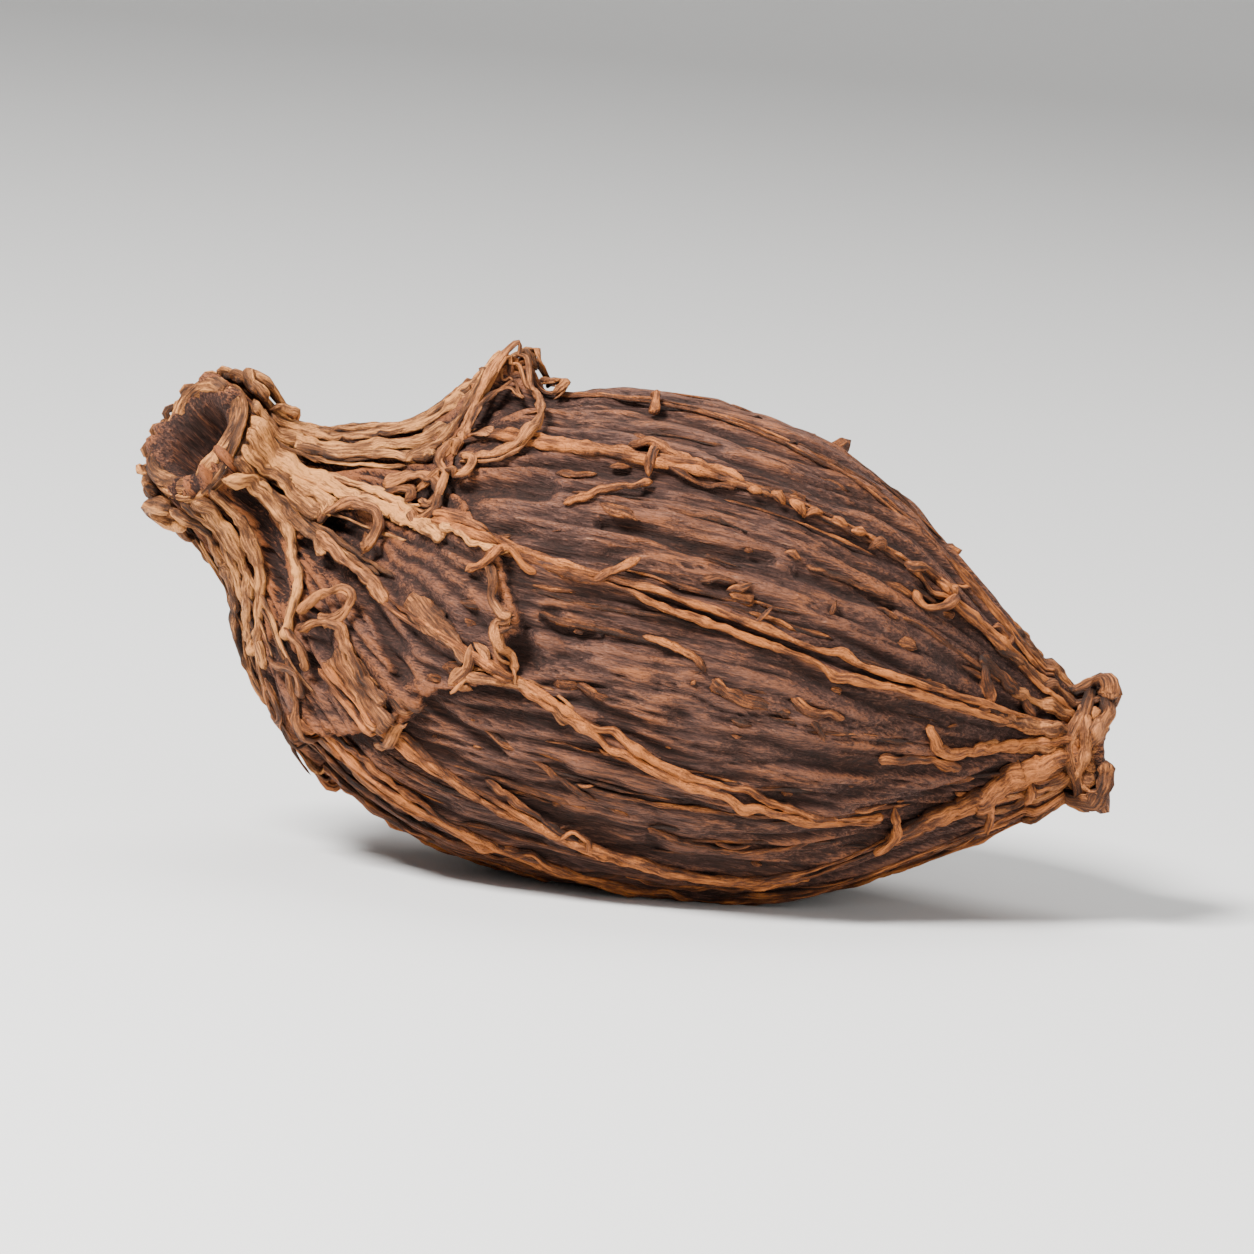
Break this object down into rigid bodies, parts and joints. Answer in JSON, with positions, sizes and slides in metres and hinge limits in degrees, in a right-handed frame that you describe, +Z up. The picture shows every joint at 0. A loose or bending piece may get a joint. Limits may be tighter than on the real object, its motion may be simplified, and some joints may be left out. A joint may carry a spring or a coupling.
{
  "type": "black cardamom pod",
  "caption": "Dried black cardamom pod: a ribbed, fibrous ovoid with the torn tube of the dried flower at its fat end and a small flared collar at its point.",
  "frame": {"origin": "under the middle of the bounding box, on the surface that the pod lies on", "axes": "+Z up, +X along the pod from the flower tube towards the pointed end, -Y the side shown in the picture"},
  "size_m": [0.03, 0.0157, 0.0157],
  "materials": {
    "dried_skin": "matt, fibrous, purplish brown with orange-tan ribs"
  },
  "bodies": {
    "root": {"pod": "dried_skin"}
  },
  "joints": []
}
